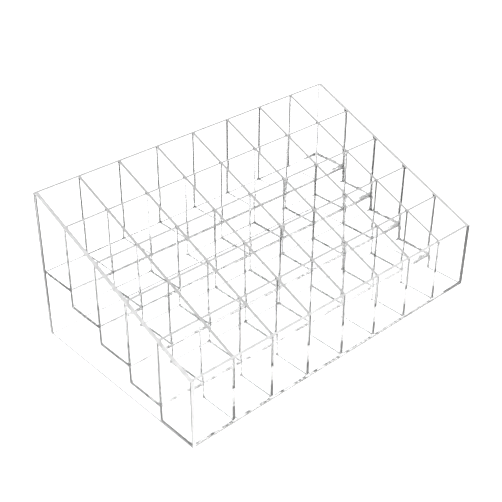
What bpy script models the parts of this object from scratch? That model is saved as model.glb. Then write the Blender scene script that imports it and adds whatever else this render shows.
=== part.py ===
"""Stepped acrylic rack for nail polish bottles: eight columns by five rows of open cells.

Every piece is a flat sheet of clear acrylic. Two side panels, a back panel and a front panel
make the box. Five treads step down from back to front and carry the bottles. Four row walls
stand on the treads, and each one also closes the step below it as a riser. Seven column
dividers drop over the row walls in half-lap slots. The tops of the side panels and column
dividers slope down to the front; the other sheets have square-cut, level tops under that slope.

Metres, +Z up, front towards -Y. The origin is on the base, under the middle of the rack.
Pieces that are cemented together in the real rack stand a GAP apart here.
"""

import bmesh
import bpy

# Driving dimensions.
WIDTH = 0.232
DEPTH = 0.137
BACK_HEIGHT = 0.099
FRONT_HEIGHT = 0.0455
COLUMNS = 8
ROWS = 5
SIDE = 0.0025            # thickness of the side panels
SHEET = 0.002            # back and front panels, and the treads
DIVIDER = 0.0018         # row walls and column dividers
BACK_TREAD_TOP = 0.0464  # floor level of the back row
STEP = 0.0115            # drop from one row to the next; the front row's tread lies on the base
GAP = 0.0003             # clearance between neighbouring pieces

# Worked out from the driving dimensions.
INNER_X = WIDTH / 2 - SIDE
INNER_Y = DEPTH / 2 - SHEET
SLOPE = (BACK_HEIGHT - FRONT_HEIGHT) / (2 * INNER_Y)
CELL_WIDTH = (2 * INNER_X - (COLUMNS - 1) * DIVIDER) / COLUMNS
CELL_DEPTH = (2 * INNER_Y - (ROWS - 1) * DIVIDER) / ROWS
SLOT = DIVIDER / 2 + GAP  # half the width of a half-lap slot


def rim_height(y):
    """Height of the sloped rim, which runs from the front panel up to the back panel."""
    return FRONT_HEIGHT + SLOPE * (y + INNER_Y)


def tread_top(row):
    """Floor level of a row; row 0 is at the back."""
    return SHEET if row == ROWS - 1 else BACK_TREAD_TOP - row * STEP


def wall_y(row):
    """Middle plane of the wall in front of a row."""
    return INNER_Y - (row + 1) * CELL_DEPTH - (row + 0.5) * DIVIDER


def divider_x(column):
    """Middle plane of the divider on the right of a column; column 0 is on the left."""
    return -INNER_X + (column + 1) * CELL_WIDTH + (column + 0.5) * DIVIDER


def lap_height(row):
    """Where the slots of a row wall and of the dividers meet: halfway up the row's cells."""
    return (tread_top(row) + rim_height(wall_y(row))) / 2


def acrylic(name, colour, roughness):
    material = bpy.data.materials.new(name)
    material.use_nodes = True
    shader = material.node_tree.nodes["Principled BSDF"]
    shader.inputs["Base Color"].default_value = (*colour, 1.0)
    shader.inputs["Metallic"].default_value = 0.0
    shader.inputs["Roughness"].default_value = roughness
    shader.inputs["Transmission Weight"].default_value = 1.0
    shader.inputs["IOR"].default_value = 1.49
    return material


def sheet(name, outline, normal, near, thickness, material):
    """A flat sheet: an outline of (horizontal, height) points, extruded along its normal.

    For normal "X" the horizontal coordinate is y, and for normal "Y" it is x. near is where
    the sheet starts along the normal.
    """
    mesh_builder = bmesh.new()
    verts = []
    for across, height in outline:
        place = (near, across, height) if normal == "X" else (across, near, height)
        verts.append(mesh_builder.verts.new(place))
    face = mesh_builder.faces.new(verts)
    swept = bmesh.ops.extrude_face_region(mesh_builder, geom=[face])
    shift = (thickness, 0, 0) if normal == "X" else (0, thickness, 0)
    far_verts = [item for item in swept["geom"] if isinstance(item, bmesh.types.BMVert)]
    bmesh.ops.translate(mesh_builder, verts=far_verts, vec=shift)
    bmesh.ops.recalc_face_normals(mesh_builder, faces=mesh_builder.faces)
    mesh = bpy.data.meshes.new(name)
    mesh_builder.to_mesh(mesh)
    mesh_builder.free()
    mesh.materials.append(material)
    piece = bpy.data.objects.new(name, mesh)
    bpy.context.collection.objects.link(piece)
    return piece


def side_panel(name, near, material):
    """A full side, level where it covers the ends of the back and front panels."""
    outline = [
        (-DEPTH / 2, 0),
        (DEPTH / 2, 0),
        (DEPTH / 2, BACK_HEIGHT),
        (INNER_Y, BACK_HEIGHT),
        (-INNER_Y, FRONT_HEIGHT),
        (-DEPTH / 2, FRONT_HEIGHT),
    ]
    return sheet(name, outline, "X", near, SIDE, material)


def end_panel(name, near, top, material):
    """The back or the front panel, held between the side panels."""
    reach = INNER_X - GAP
    outline = [(-reach, 0), (reach, 0), (reach, top), (-reach, top)]
    return sheet(name, outline, "Y", near, SHEET, material)


def tread(row, material):
    """The floor of a row; it runs back under the wall that stands on it."""
    reach = INNER_X - GAP
    back = INNER_Y - GAP if row == 0 else wall_y(row - 1) + DIVIDER / 2
    front = -INNER_Y + GAP if row == ROWS - 1 else wall_y(row) + DIVIDER / 2 + GAP
    top = tread_top(row)
    outline = [(-reach, top - SHEET), (reach, top - SHEET), (reach, top), (-reach, top)]
    return sheet(f"tread_row_{row + 1}", outline, "Y", front, back - front, material)


def row_wall(row, material):
    """The wall in front of a row, with a slot open at the top for each column divider."""
    reach = INNER_X - GAP
    near = wall_y(row) - DIVIDER / 2
    foot = tread_top(row + 1) + GAP
    top = rim_height(near)
    lap = lap_height(row)
    outline = [(reach, foot), (reach, top)]
    for column in reversed(range(COLUMNS - 1)):
        x = divider_x(column)
        outline += [(x + SLOT, top), (x + SLOT, lap), (x - SLOT, lap), (x - SLOT, top)]
    outline += [(-reach, top), (-reach, foot)]
    return sheet(f"row_wall_{row + 1}", outline, "Y", near, DIVIDER, material)


def column_divider(column, material):
    """A divider with a stepped lower edge, and a slot open at the bottom for each row wall."""
    back = INNER_Y - GAP
    front = -back
    outline = [(front, rim_height(front)), (back, rim_height(back)), (back, tread_top(0) + GAP)]
    for row in range(ROWS - 1):
        y = wall_y(row)
        lap = lap_height(row) + GAP
        outline += [
            (y + SLOT, tread_top(row) + GAP),
            (y + SLOT, lap),
            (y - SLOT, lap),
            (y - SLOT, tread_top(row + 1) + GAP),
        ]
    outline.append((front, tread_top(ROWS - 1) + GAP))
    near = divider_x(column) - DIVIDER / 2
    return sheet(f"column_divider_{column + 1}", outline, "X", near, DIVIDER, material)


def build():
    for old in list(bpy.data.objects):
        bpy.data.objects.remove(old, do_unlink=True)

    shell = acrylic("clear_shell", (0.97, 0.98, 0.98), 0.02)
    floor = acrylic("clear_tread", (0.96, 0.97, 0.97), 0.03)
    divider = acrylic("clear_divider", (0.97, 0.98, 0.98), 0.02)

    side_panel("side_panel_left", -WIDTH / 2, shell)
    side_panel("side_panel_right", INNER_X, shell)
    end_panel("back_panel", INNER_Y, BACK_HEIGHT, shell)
    end_panel("front_panel", -DEPTH / 2, FRONT_HEIGHT, shell)
    for row in range(ROWS):
        tread(row, floor)
    for row in range(ROWS - 1):
        row_wall(row, divider)
    for column in range(COLUMNS - 1):
        column_divider(column, divider)


build()
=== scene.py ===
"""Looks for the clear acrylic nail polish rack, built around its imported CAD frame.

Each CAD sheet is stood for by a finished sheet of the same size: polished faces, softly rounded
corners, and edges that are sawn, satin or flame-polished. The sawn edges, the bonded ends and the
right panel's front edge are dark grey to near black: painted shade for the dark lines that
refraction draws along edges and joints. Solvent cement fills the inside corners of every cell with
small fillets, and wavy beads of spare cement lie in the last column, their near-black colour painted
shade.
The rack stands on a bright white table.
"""

import math
import random

import bmesh
import bpy
from mathutils import Matrix, Vector, noise


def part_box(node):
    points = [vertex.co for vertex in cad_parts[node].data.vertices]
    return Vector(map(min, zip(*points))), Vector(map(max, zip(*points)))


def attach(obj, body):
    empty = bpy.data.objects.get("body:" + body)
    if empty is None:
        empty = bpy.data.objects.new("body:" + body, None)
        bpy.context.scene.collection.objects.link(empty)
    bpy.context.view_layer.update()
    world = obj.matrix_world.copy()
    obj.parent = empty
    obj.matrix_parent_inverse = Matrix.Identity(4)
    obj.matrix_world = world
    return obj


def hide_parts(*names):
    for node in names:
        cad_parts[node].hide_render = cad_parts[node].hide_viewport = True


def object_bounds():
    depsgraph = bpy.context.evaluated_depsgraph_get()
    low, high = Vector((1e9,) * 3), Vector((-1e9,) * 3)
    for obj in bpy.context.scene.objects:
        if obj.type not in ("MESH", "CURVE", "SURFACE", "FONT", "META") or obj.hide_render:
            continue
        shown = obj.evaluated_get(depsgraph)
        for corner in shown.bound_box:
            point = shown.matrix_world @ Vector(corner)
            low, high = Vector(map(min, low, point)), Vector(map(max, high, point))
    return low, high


# Finish of the real thing, in metres.
BOND = 0.00005          # what is left between two cemented sheets
CORNER_ROUND = 0.00008  # rounding of a sheet's free corners
SHARP = 0.7             # edges that turn by more than this angle are rounded
PROBE = 3 * BOND        # how far off a face its neighbours are looked for
FRONT_SHADE_REACH = 0.25     # part of the front panel's height up to which the dividers' front ends are near black, painted shade at the joint

# Cement in the cells: its radius in upright corners, by where they are, and round the floors,
# row by row from the back.
UPRIGHT = {"back": 0.0012, "left": 0.0010, "right": 0.0016, "cross": 0.0004, "outer": 0.0002}
FOOT = (0.0005, 0.0007, 0.0008, 0.0008, 0.0004)
FRONT_FOOT = (0.0004, 0.0007, 0.0013, 0.0013, 0.0004)  # at the front of the floors
POOL = 0.0020           # radius where an upright corner meets the floor
BELOW_RIM = 0.0005      # the cement in upright corners stops this far below the rim
CUT_PAST = 0.01         # the free room is cut out of the cement to this far above the cell
ARC_STEPS = 6

# Beads of spare cement.
BEAD = 0.0010           # radius
BEAD_SEAT = 0.7 * BEAD  # distance of a bead's middle from the sheets that it lies on
BEAD_BACK = (0.012, 0.003, 0.003, 0.003)  # run of each bead along the back of its floor
BEAD_FRONT = 0.010      # run of each bead along the front of its floor
BEAD_STEP = 0.0006
BEAD_SIDES = 8
BEAD_WANDER = 0.0003    # how far a bead wanders from its path
WANDER_SCALE = 250      # lumps of noise per metre
SWELL_SCALE = 300
SWELL_LEAST, SWELL_MOST = 0.4, 1.2  # thinnest and thickest place, in radii

# The table glows evenly within GLOW_INNER of its middle, and fades until GLOW_OUTER.
TABLE_RADIUS = 4.0
TABLE_HEIGHT = -0.0005  # just under the rack, so that no faces coincide
GLOW_INNER, GLOW_OUTER = 0.62, 1.2
GLOW_NEAR, GLOW_FAR = 1.2, 0.1

# The camera's place: round the rack from its front, up, and back, looking at CAMERA_AIM.
CAMERA_AZIMUTH = -42.8
CAMERA_ELEVATION = 32.7
CAMERA_ROLL = 0.44
CAMERA_DISTANCE = 0.642
CAMERA_LENS = 71.8
CAMERA_AIM = Vector((0.0071, 0.0201, 0.030))
SENSOR = 36.0


# ---------------------------------------------------------------- frame

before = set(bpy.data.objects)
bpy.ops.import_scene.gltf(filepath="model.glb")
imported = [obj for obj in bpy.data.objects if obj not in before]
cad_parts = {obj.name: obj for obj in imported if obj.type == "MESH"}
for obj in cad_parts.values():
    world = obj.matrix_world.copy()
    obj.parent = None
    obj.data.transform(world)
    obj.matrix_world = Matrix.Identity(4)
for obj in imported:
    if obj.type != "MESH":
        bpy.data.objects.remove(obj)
cad_low, cad_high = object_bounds()

ROWS = sum(name.startswith("tread_row_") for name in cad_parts)
COLUMNS = sum(name.startswith("column_divider_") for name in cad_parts) + 1
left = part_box("side_panel_left")
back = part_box("back_panel")
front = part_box("front_panel")
treads = [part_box(f"tread_row_{row + 1}") for row in range(ROWS)]
walls = [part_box(f"row_wall_{row + 1}") for row in range(ROWS - 1)]
dividers = [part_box(f"column_divider_{column + 1}") for column in range(COLUMNS - 1)]

INNER_X = -left[1].x
INNER_Y = back[0].y
BACK_TOP = back[1].z
FRONT_TOP = front[1].z
SLOPE = (BACK_TOP - FRONT_TOP) / (2 * INNER_Y)


def rim_height(y):
    """Height of the sloped rim at a depth in the rack."""
    return FRONT_TOP + SLOPE * (y + INNER_Y)


def tread_top(row):
    """Floor level of a row; row 0 is at the back."""
    return treads[row][1].z


def lap_height(row):
    """Where the half-lap slots of a row wall and the dividers meet."""
    middle = (walls[row][0].y + walls[row][1].y) / 2
    return (tread_top(row) + rim_height(middle)) / 2


# ---------------------------------------------------------------- materials

def principled(name):
    """A new material, with its node tree and its Principled shader."""
    material = bpy.data.materials.new(name)
    material.use_nodes = True
    tree = material.node_tree
    return material, tree, tree.nodes["Principled BSDF"]


def add(tree, kind, **settings):
    """A new node; settings that name an input set that input's value."""
    node = tree.nodes.new(kind)
    for key, value in settings.items():
        if key in node.inputs:
            node.inputs[key].default_value = value
        else:
            setattr(node, key, value)
    return node


def polished(name, tint, waviness):
    """A polished acrylic face, with the faint waves of cast sheet."""
    material, tree, shader = principled(name)
    shader.inputs["Base Color"].default_value = (*tint, 1)
    shader.inputs["Transmission Weight"].default_value = 1.0
    shader.inputs["IOR"].default_value = 1.49
    shader.inputs["Roughness"].default_value = 0.0
    place = add(tree, "ShaderNodeTexCoord")
    waves = add(tree, "ShaderNodeTexNoise", Scale=45.0, Detail=2.0)
    bump = add(tree, "ShaderNodeBump", Strength=waviness, Distance=0.001)
    tree.links.new(place.outputs["Object"], waves.inputs["Vector"])
    tree.links.new(waves.outputs["Fac"], bump.inputs["Height"])
    tree.links.new(bump.outputs["Normal"], shader.inputs["Normal"])
    return material


def bead_shade_material(name):
    """Cement for the spare beads: partly clear and bumpy with bubbles, its colour near black all over as
    painted shade.
    """
    material, tree, shader = principled(name)
    shader.inputs["Transmission Weight"].default_value = 0.15
    shader.inputs["IOR"].default_value = 1.45
    shader.inputs["Roughness"].default_value = 0.15
    place = add(tree, "ShaderNodeTexCoord")
    bubbles = add(tree, "ShaderNodeTexNoise", Scale=350.0, Detail=3.0)
    greys = add(tree, "ShaderNodeValToRGB")
    greys.color_ramp.elements[0].position = 0.4
    greys.color_ramp.elements[0].color = (0.01, 0.01, 0.01, 1)
    greys.color_ramp.elements[1].position = 0.6
    greys.color_ramp.elements[1].color = (0.1, 0.1, 0.1, 1)
    bump = add(tree, "ShaderNodeBump", Strength=0.4, Distance=0.0003)
    tree.links.new(place.outputs["Object"], bubbles.inputs["Vector"])
    tree.links.new(bubbles.outputs["Fac"], greys.inputs["Fac"])
    tree.links.new(greys.outputs["Color"], shader.inputs["Base Color"])
    tree.links.new(bubbles.outputs["Fac"], bump.inputs["Height"])
    tree.links.new(bump.outputs["Normal"], shader.inputs["Normal"])
    return material


def joint(name):
    """Clear cement between two sheets: light goes straight through it."""
    material, tree, shader = principled(name)
    shader.inputs["Transmission Weight"].default_value = 1.0
    shader.inputs["IOR"].default_value = 1.0
    shader.inputs["Roughness"].default_value = 0.0
    return material


def cut_edge(name, dark, light, clearness, roughness, pitch):
    """A sheet's cut edge: marks about a pitch apart, between a dark and a light grey. In the sawn,
    bonded and near-black finishes these greys are painted shade for the dark lines refraction draws
    along edges.
    """
    material, tree, shader = principled(name)
    shader.inputs["Transmission Weight"].default_value = clearness
    shader.inputs["IOR"].default_value = 1.49
    shader.inputs["Roughness"].default_value = roughness
    place = add(tree, "ShaderNodeTexCoord")
    marks = add(tree, "ShaderNodeTexNoise", Scale=1 / pitch, Detail=3.0)
    greys = add(tree, "ShaderNodeValToRGB")
    greys.color_ramp.elements[0].position = 0.35
    greys.color_ramp.elements[0].color = (dark, dark, dark, 1)
    greys.color_ramp.elements[1].position = 0.65
    greys.color_ramp.elements[1].color = (light, light, light, 1)
    bump = add(tree, "ShaderNodeBump", Strength=0.3, Distance=0.0002)
    tree.links.new(place.outputs["Object"], marks.inputs["Vector"])
    tree.links.new(marks.outputs["Fac"], greys.inputs["Fac"])
    tree.links.new(greys.outputs["Color"], shader.inputs["Base Color"])
    tree.links.new(marks.outputs["Fac"], bump.inputs["Height"])
    tree.links.new(bump.outputs["Normal"], shader.inputs["Normal"])
    return material


JOINT, FACE, CLEAR, SATIN, SAWN_SHADE, BONDED_SHADE, NEAR_BLACK_SHADE, FROSTED = range(8)
finishes = [
    joint("cemented_joint"),
    polished("polished_face", (1, 1, 1), 0.02),
    polished("flame_polished_edge", (0.97, 0.98, 0.98), 0.1),
    cut_edge("satin_edge", 0.65, 0.76, 0.3, 0.3, 0.002),
    # sawn edge: a real matte finish, its grey darkened as painted shade for refraction lines
    cut_edge("sawn_edge_painted_shade", 0.50, 0.58, 0.2, 0.4, 0.002),
    # bonded ends: real joints against another sheet, painted near black as shade at the joint
    cut_edge("bonded_edge_painted_shade", 0.03, 0.15, 0.1, 0.4, 0.003),
    # near-black edge: painted shade on the right panel's front edge
    cut_edge("near_black_edge_painted_shade", 0.02, 0.06, 0.1, 0.3, 0.003),
    cut_edge("frosted_foot", 0.9, 1.0, 1.0, 0.5, 0.002),
]
bead_cement_painted_shade = bead_shade_material("bead_cement_painted_shade")


# ---------------------------------------------------------------- shapes

sheets = {}  # node -> (outline, normal, near, far)


def side_panel(node, sign, front_edge, back_edge, rim_edge):
    """A full side; below the back row's tread the back edge is frosted, above it back_edge."""
    outline = [
        (cad_low.y, 0, FROSTED),
        (cad_high.y, 0, FROSTED),
        (cad_high.y, treads[0][0].z, back_edge),
        (cad_high.y, BACK_TOP, rim_edge),
        (INNER_Y, BACK_TOP, rim_edge),
        (-INNER_Y, FRONT_TOP, rim_edge),
        (cad_low.y, FRONT_TOP, front_edge),
    ]
    near, far = sorted((sign * INNER_X, sign * cad_high.x))
    sheets[node] = (outline, "X", near, far)


def end_panel(node, near, far, top, rim_edge):
    """The back or the front panel, held between the side panels."""
    reach = INNER_X - BOND
    outline = [(-reach, 0, FROSTED), (reach, 0, CLEAR), (reach, top, rim_edge), (-reach, top, CLEAR)]
    sheets[node] = (outline, "Y", near, far)


def tread(row):
    """The floor of a row, which runs back under the wall that stands on it."""
    reach = INNER_X - BOND
    top = tread_top(row)
    floor = treads[row][0].z
    rear = INNER_Y - BOND if row == 0 else walls[row - 1][1].y
    fore = -INNER_Y + BOND if row == ROWS - 1 else walls[row][1].y + BOND
    # the tread's right end, against the right side panel, is painted near black: painted shade at the
    # joint
    outline = [(-reach, floor, CLEAR), (reach, floor, BONDED_SHADE), (reach, top, CLEAR), (-reach, top, CLEAR)]
    sheets[f"tread_row_{row + 1}"] = (outline, "Y", fore, rear)


def row_wall(row):
    """The wall in front of a row, with a slot open at the top for each column divider."""
    reach = INNER_X - BOND
    foot = tread_top(row + 1) + BOND
    top = walls[row][1].z
    lap = lap_height(row)
    # the wall's right end and the lower part of its left end are painted near black: painted shade at
    # the joints
    outline = [(reach, foot, BONDED_SHADE), (reach, top, SATIN)]
    for low, high in reversed(dividers):
        slot_low, slot_high = low.x - BOND, high.x + BOND
        outline += [
            (slot_high, top, CLEAR),
            (slot_high, lap, CLEAR),
            (slot_low, lap, CLEAR),
            (slot_low, top, SATIN),
        ]
    outline += [(-reach, top, CLEAR), (-reach, treads[row][0].z, BONDED_SHADE), (-reach, foot, CLEAR)]
    sheets[f"row_wall_{row + 1}"] = (outline, "Y", walls[row][0].y, walls[row][1].y)


def column_divider(column):
    """A divider with a stepped lower edge, and a slot open at the bottom for each row wall."""
    rear = INNER_Y - BOND
    low, high = dividers[column]
    # the divider's sloped top rim takes the sawn grey, painted shade
    outline = [(-rear, rim_height(-rear), SAWN_SHADE), (rear, rim_height(rear), CLEAR)]
    outline.append((rear, tread_top(0) + BOND, CLEAR))
    for row, (wall_low, wall_high) in enumerate(walls):
        lap = lap_height(row) + BOND
        behind, before = wall_high.y + BOND, wall_low.y - BOND
        outline += [
            (behind, tread_top(row) + BOND, CLEAR),
            (behind, lap, CLEAR),
            (before, lap, CLEAR),
            (before, tread_top(row + 1) + BOND, CLEAR),
        ]
    # the divider's front end, from the front floor up to part of the front panel's height, is painted
    # near black as shade at the joint
    outline.append((-rear, tread_top(ROWS - 1) + BOND, BONDED_SHADE))
    outline.append((-rear, FRONT_SHADE_REACH * FRONT_TOP, CLEAR))
    sheets[f"column_divider_{column + 1}"] = (outline, "X", low.x, high.x)


def cell_box(row, column):
    """Lowest and highest corner of a cell's inside; its top follows the rim."""
    x_low = -INNER_X if column == 0 else dividers[column - 1][1].x
    x_high = INNER_X if column == COLUMNS - 1 else dividers[column][0].x
    y_high = INNER_Y if row == 0 else walls[row - 1][0].y
    y_low = -INNER_Y if row == ROWS - 1 else walls[row][1].y
    return Vector((x_low, y_low, tread_top(row))), Vector((x_high, y_high, rim_height(y_high)))


def rise(height, radius):
    """How far a round foot of this radius has closed up at a height: 0 at its foot, 1 above it."""
    part = min(max(height / radius, 0), 1)
    return math.sqrt(1 - (1 - part) ** 2)


class Cell:
    """The inside of a cell, and the cement in its corners."""

    def __init__(self, row, column, chance):
        self.low, self.high = cell_box(row, column)
        feet = [FOOT[row] * chance.uniform(0.7, 1.3) for _ in range(3)]
        self.feet = {(0, -1): feet[0], (0, 1): feet[1], (1, 1): feet[2], (1, -1): FRONT_FOOT[row]}
        self.foot = max(self.feet.values())
        self.pool = POOL * chance.uniform(0.7, 1.2)
        self.radii = {}
        for x_side in (-1, 1):
            for y_side in (-1, 1):
                at_side = column == (0 if x_side < 0 else COLUMNS - 1)
                at_end = row == (ROWS - 1 if y_side < 0 else 0)
                beside = "left" if x_side < 0 else "right"
                place = ("outer" if at_end else beside) if at_side else ("back" if at_end else "cross")
                self.radii[x_side, y_side] = UPRIGHT[place] * chance.uniform(0.85, 1.15)

    def inset(self, height, axis, side):
        """How far the cement reaches from a wall into the cell at a height above the floor."""
        foot = self.feet[axis, side]
        return foot * (1 - rise(height, foot))

    def radius(self, height, corner):
        """Radius of the cement in an upright corner at a height above the floor."""
        narrow = self.radii[corner]
        return narrow + (self.pool - narrow) * (1 - rise(height, self.pool))

    def holds(self, place):
        """Whether a place is in the cell, among its cement or not."""
        return all(self.low[axis] < place[axis] < self.high[axis] for axis in range(3))

    def cemented(self, place):
        """Whether cement takes up this place in the cell."""
        height = place.z - self.low.z
        sides = [1 if place[axis] > (self.low[axis] + self.high[axis]) / 2 else -1 for axis in (0, 1)]
        radius = self.radius(height, tuple(sides))
        reach = []
        for axis, side in enumerate(sides):
            wall = self.high[axis] if side > 0 else self.low[axis]
            reach.append(abs(place[axis] - wall) - self.inset(height, axis, side))
        if min(reach) < 0:
            return True
        return max(reach) < radius and math.dist(reach, (radius, radius)) > radius

    def outline(self, height, spare):
        """The free inside at a height above the floor, spare wider than it really is."""
        points = []
        for x_side, y_side, start in ((1, 1, 0), (-1, 1, 90), (-1, -1, 180), (1, -1, 270)):
            radius = self.radius(height, (x_side, y_side))
            away_x = self.inset(height, 0, x_side) - spare + radius
            away_y = self.inset(height, 1, y_side) - spare + radius
            middle_x = (self.high.x if x_side > 0 else self.low.x) - x_side * away_x
            middle_y = (self.high.y if y_side > 0 else self.low.y) - y_side * away_y
            for step in range(ARC_STEPS + 1):
                angle = math.radians(start + 90 * step / ARC_STEPS)
                points.append((middle_x + radius * math.cos(angle), middle_y + radius * math.sin(angle)))
        return points


chance = random.Random(7)
cells = [Cell(row, column, chance) for row in range(ROWS) for column in range(COLUMNS)]


def in_outline(across, height, outline):
    """Whether a point lies inside a sheet's outline (it counts the edges above it)."""
    inside = False
    for index, (a, a_height, _) in enumerate(outline):
        b, b_height, _ = outline[index - 1]
        if (a > across) != (b > across):
            edge_height = a_height + (b_height - a_height) * (across - a) / (b - a)
            inside ^= edge_height > height
    return inside


def filled(place):
    """Whether a sheet or a fillet of cement takes up this place."""
    for outline, normal, near, far in sheets.values():
        depth, across = (place.x, place.y) if normal == "X" else (place.y, place.x)
        if near < depth < far and in_outline(across, place.z, outline):
            return True
    for cell in cells:
        if cell.holds(place):
            return cell.cemented(place)
    return False


def cut_lines(axis):
    """Where sheets change between free and cemented along an axis."""
    lines = set()
    for cell in cells:
        if axis < 2:
            for reach in (0, UPRIGHT["cross"], UPRIGHT["back"], UPRIGHT["right"]):
                lines |= {cell.low[axis] + reach, cell.high[axis] - reach}
        else:
            lines |= {cell.low.z + reach for reach in (0, cell.foot, POOL / 2)}
    if axis == 2:
        lines |= {low.z for low, high in treads}
    return sorted({round(line, 7) for line in lines})


# ---------------------------------------------------------------- pieces

def add_piece(name, builder, materials):
    """A new object from a finished bmesh."""
    mesh = bpy.data.meshes.new(name)
    builder.to_mesh(mesh)
    builder.free()
    for material in materials:
        mesh.materials.append(material)
    piece = bpy.data.objects.new(name, mesh)
    bpy.context.collection.objects.link(piece)
    return piece


def sheet(node):
    """A finished sheet that stands for a CAD node; cemented faces are marked as joints."""
    outline, normal, near, far = sheets[node]
    builder = bmesh.new()
    rings = []
    for depth in (near, far):
        ring = []
        for across, height, _ in outline:
            place = (depth, across, height) if normal == "X" else (across, depth, height)
            ring.append(builder.verts.new(place))
        rings.append(ring)
    for ring in rings:
        builder.faces.new(ring).material_index = FACE
    for index, (_, _, finish) in enumerate(outline):
        following = (index + 1) % len(outline)
        corners = (rings[0][index], rings[0][following], rings[1][following], rings[1][index])
        builder.faces.new(corners).material_index = finish
    bmesh.ops.recalc_face_normals(builder, faces=builder.faces)
    for axis in range(3):
        direction = [float(axis == other) for other in range(3)]
        for line in cut_lines(axis):
            geometry = [*builder.verts, *builder.edges, *builder.faces]
            bmesh.ops.bisect_plane(builder, geom=geometry, dist=1e-6, plane_no=direction,
                                   plane_co=[line * part for part in direction])
    for face in builder.faces:
        beside = face.calc_center_median() + PROBE * face.normal
        # bonded ends keep their near-black painted shade instead of becoming clear joints
        if face.material_index != BONDED_SHADE and filled(beside):
            face.material_index = JOINT
    rounded = builder.edges.layers.float.new("bevel_weight_edge")
    for edge in builder.edges:
        free = all(face.material_index != JOINT for face in edge.link_faces)
        edge[rounded] = float(free and edge.calc_face_angle() > SHARP)
    piece = add_piece(f"{node}_sheet", builder, finishes)
    rounding = piece.modifiers.new("rounded corners", "BEVEL")
    rounding.width = CORNER_ROUND
    rounding.segments = 2
    rounding.limit_method = "WEIGHT"
    # the dividers' rounded corners take the sawn grey, painted shade; the other sheets' take the satin
    # finish
    rounding.material = SAWN_SHADE if node.startswith("column_divider") else SATIN
    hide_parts(node)
    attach(piece, "root")


def box_mesh(builder, low, high):
    """A box in a mesh; returns its vertices."""
    middle, spread = (low + high) / 2, high - low
    place = Matrix.Translation(middle) @ Matrix.Diagonal((*spread, 1))
    return bmesh.ops.create_cube(builder, size=1, matrix=place)["verts"]


def cement():
    """Cement in the corners of all cells: their insides less the free room in them."""
    solid, hollow = bmesh.new(), bmesh.new()
    margin = Vector((BOND / 2,) * 3)
    for cell in cells:
        low, high = cell.low, cell.high
        for vert in box_mesh(solid, low + margin, high - margin):
            if vert.co.z > (low.z + high.z) / 2:
                vert.co.z = rim_height(vert.co.y) - BELOW_RIM
        curve = [1 - math.cos(math.radians(90 * step / ARC_STEPS)) for step in range(ARC_STEPS + 1)]
        heights = sorted({cell.foot * part for part in curve} | {cell.pool * part for part in curve})
        rings = []
        for height in (-BOND, *heights, high.z - low.z + CUT_PAST):
            ring = [hollow.verts.new((x, y, low.z + height)) for x, y in cell.outline(height, BOND)]
            rings.append(ring)
        for below, above in zip(rings, rings[1:]):
            for index in range(len(below)):
                following = (index + 1) % len(below)
                hollow.faces.new((below[index], below[following], above[following], above[index]))
        hollow.faces.new(reversed(rings[0]))
        hollow.faces.new(rings[-1])
    for face in solid.faces:
        face.material_index = FACE if face.normal.z > 0.5 else JOINT
    for face in hollow.faces:
        face.material_index = FACE
    fillets = add_piece("cement_fillets", solid, finishes)
    cutter = add_piece("cement_cutter", hollow, finishes)
    cut = fillets.modifiers.new("insides", "BOOLEAN")
    cut.operation = "DIFFERENCE"
    cut.object = cutter
    graph = bpy.context.evaluated_depsgraph_get()
    result = bpy.data.meshes.new_from_object(fillets.evaluated_get(graph))
    fillets.modifiers.clear()
    fillets.data = result
    bpy.data.objects.remove(cutter)
    result.shade_smooth()
    result.set_sharp_from_angle(angle=math.radians(35))
    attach(fillets, "root")


def bead(name, path):
    """A wavy bead of spare cement along a path of points."""
    places = []
    for start, end in zip(path, path[1:]):
        steps = max(2, round((end - start).length / BEAD_STEP))
        places += [start.lerp(end, step / steps) for step in range(steps)]
    places.append(path[-1])
    builder = bmesh.new()
    rings = []
    for index, place in enumerate(places):
        ahead = places[min(index + 1, len(places) - 1)] - places[max(index - 1, 0)]
        turn = ahead.to_track_quat("Z", "Y").to_matrix()
        at_end = index in (0, len(places) - 1)
        swell = 0.8 + 1.2 * noise.noise(place * SWELL_SCALE)
        swell = min(max(swell, SWELL_LEAST), SWELL_MOST)
        radius = BEAD * (0.3 if at_end else swell)
        middle = place + BEAD_WANDER * noise.noise_vector(place * WANDER_SCALE)
        ring = []
        for side in range(BEAD_SIDES):
            angle = math.tau * side / BEAD_SIDES
            around = turn @ Vector((math.cos(angle), math.sin(angle), 0))
            ring.append(builder.verts.new(middle + radius * around))
        rings.append(ring)
    for below, above in zip(rings, rings[1:]):
        for side in range(BEAD_SIDES):
            following = (side + 1) % BEAD_SIDES
            builder.faces.new((below[side], below[following], above[following], above[side]))
    builder.faces.new(reversed(rings[0]))
    builder.faces.new(rings[-1])
    bmesh.ops.recalc_face_normals(builder, faces=builder.faces)
    # the bead's near-black colour is painted shade
    piece = add_piece(name, builder, [bead_cement_painted_shade])
    piece.data.shade_smooth()
    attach(piece, "root")


def spare_cement():
    """Beads round the treads' right ends and down the risers, where the cement was run in."""
    for row in range(ROWS - 1):
        cell, below = (cells[index * COLUMNS + COLUMNS - 1] for index in (row, row + 1))
        floor = cell.low.z + BEAD_SEAT
        right = cell.high.x - BEAD_SEAT
        behind, before = cell.high.y - BEAD_SEAT, cell.low.y + BEAD_SEAT
        bead(f"cement_bead_{row + 1}", [
            Vector((right - BEAD_BACK[row], behind, floor)),
            Vector((right, behind, floor)),
            Vector((right, before, floor)),
            Vector((right - BEAD_FRONT, before, floor)),
        ])
        corner = below.high.y - BEAD_SEAT
        bead(f"riser_bead_{row + 1}", [
            Vector((right, corner, cell.low.z)),
            Vector((right, corner, below.low.z + BEAD_SEAT)),
        ])


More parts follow.
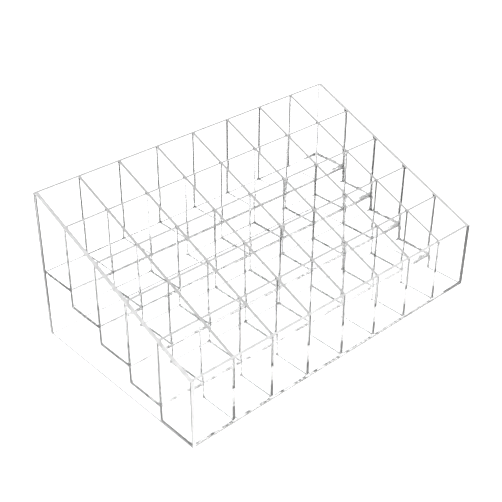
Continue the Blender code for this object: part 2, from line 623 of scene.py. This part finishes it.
# the left panel's back edge takes the sawn grey and the right panel's front edge is near black, both
# painted shade
side_panel("side_panel_left", -1, SATIN, SAWN_SHADE, SATIN)
side_panel("side_panel_right", 1, NEAR_BLACK_SHADE, SATIN, SATIN)
end_panel("back_panel", INNER_Y, cad_high.y, BACK_TOP, SATIN)
end_panel("front_panel", cad_low.y, -INNER_Y, FRONT_TOP, SATIN)
for row in range(ROWS):
    tread(row)
for row in range(ROWS - 1):
    row_wall(row)
for column in range(COLUMNS - 1):
    column_divider(column)
for node in sheets:
    sheet(node)
cement()
spare_cement()


# ---------------------------------------------------------------- stage

def white_table():
    """A white table top that glows evenly near the rack and falls off to grey far from it."""
    bpy.ops.mesh.primitive_circle_add(
        vertices=96, radius=TABLE_RADIUS, fill_type="NGON", location=(0, 0, TABLE_HEIGHT))
    table = bpy.context.object
    table.name = "table"
    material, tree, shader = principled("white_table")
    shader.inputs["Base Color"].default_value = (0.8, 0.8, 0.8, 1)
    shader.inputs["Roughness"].default_value = 0.9
    shader.inputs["Emission Color"].default_value = (1, 1, 1, 1)
    place = add(tree, "ShaderNodeTexCoord")
    reach = add(tree, "ShaderNodeVectorMath", operation="LENGTH")
    glow = add(tree, "ShaderNodeMapRange", interpolation_type="SMOOTHSTEP")
    glow.inputs["From Min"].default_value = GLOW_INNER
    glow.inputs["From Max"].default_value = GLOW_OUTER
    glow.inputs["To Min"].default_value = GLOW_NEAR
    glow.inputs["To Max"].default_value = GLOW_FAR
    tree.links.new(place.outputs["Object"], reach.inputs[0])
    tree.links.new(reach.outputs["Value"], glow.inputs["Value"])
    tree.links.new(glow.outputs["Result"], shader.inputs["Emission Strength"])
    table.data.materials.append(material)


def studio():
    """An even grey surround, and two large soft lamps that point at the rack."""
    world = bpy.data.worlds.new("studio")
    bpy.context.scene.world = world
    world.use_nodes = True
    sky = world.node_tree.nodes["Background"]
    sky.inputs["Color"].default_value = (1, 1, 1, 1)
    sky.inputs["Strength"].default_value = 0.5
    for name, place, size, power in (
        ("key", (-0.5, -0.3, 0.9), 0.5, 6.0),
        ("fill", (0.7, -0.5, 0.7), 0.6, 4.0),
    ):
        light = bpy.data.lights.new(name, "AREA")
        light.size = size
        light.energy = power
        lamp = bpy.data.objects.new(name, light)
        lamp.location = place
        lamp.rotation_euler = (-Vector(place)).to_track_quat("-Z", "Y").to_euler()
        bpy.context.collection.objects.link(lamp)


def camera():
    """The camera, CAMERA_DISTANCE away from CAMERA_AIM."""
    azimuth, elevation = math.radians(CAMERA_AZIMUTH), math.radians(CAMERA_ELEVATION)
    away = Vector((
        math.sin(azimuth) * math.cos(elevation),
        -math.cos(azimuth) * math.cos(elevation),
        math.sin(elevation),
    ))
    right = Vector((math.cos(azimuth), math.sin(azimuth), 0))
    turn = Matrix((right, away.cross(right), away)).transposed()
    turn = turn @ Matrix.Rotation(math.radians(CAMERA_ROLL), 3, "Z")
    data = bpy.data.cameras.new("camera")
    data.sensor_width = SENSOR
    data.lens = CAMERA_LENS
    data.clip_start = 0.01
    data.clip_end = 50
    view = bpy.data.objects.new("camera", data)
    view.matrix_world = turn.to_4x4()
    view.location = CAMERA_AIM + away * CAMERA_DISTANCE
    bpy.context.collection.objects.link(view)
    bpy.context.scene.camera = view


white_table()
studio()
camera()
scene = bpy.context.scene
scene.view_settings.view_transform = "Standard"
scene.cycles.max_bounces = 32
scene.cycles.transmission_bounces = 32
scene.cycles.glossy_bounces = 12
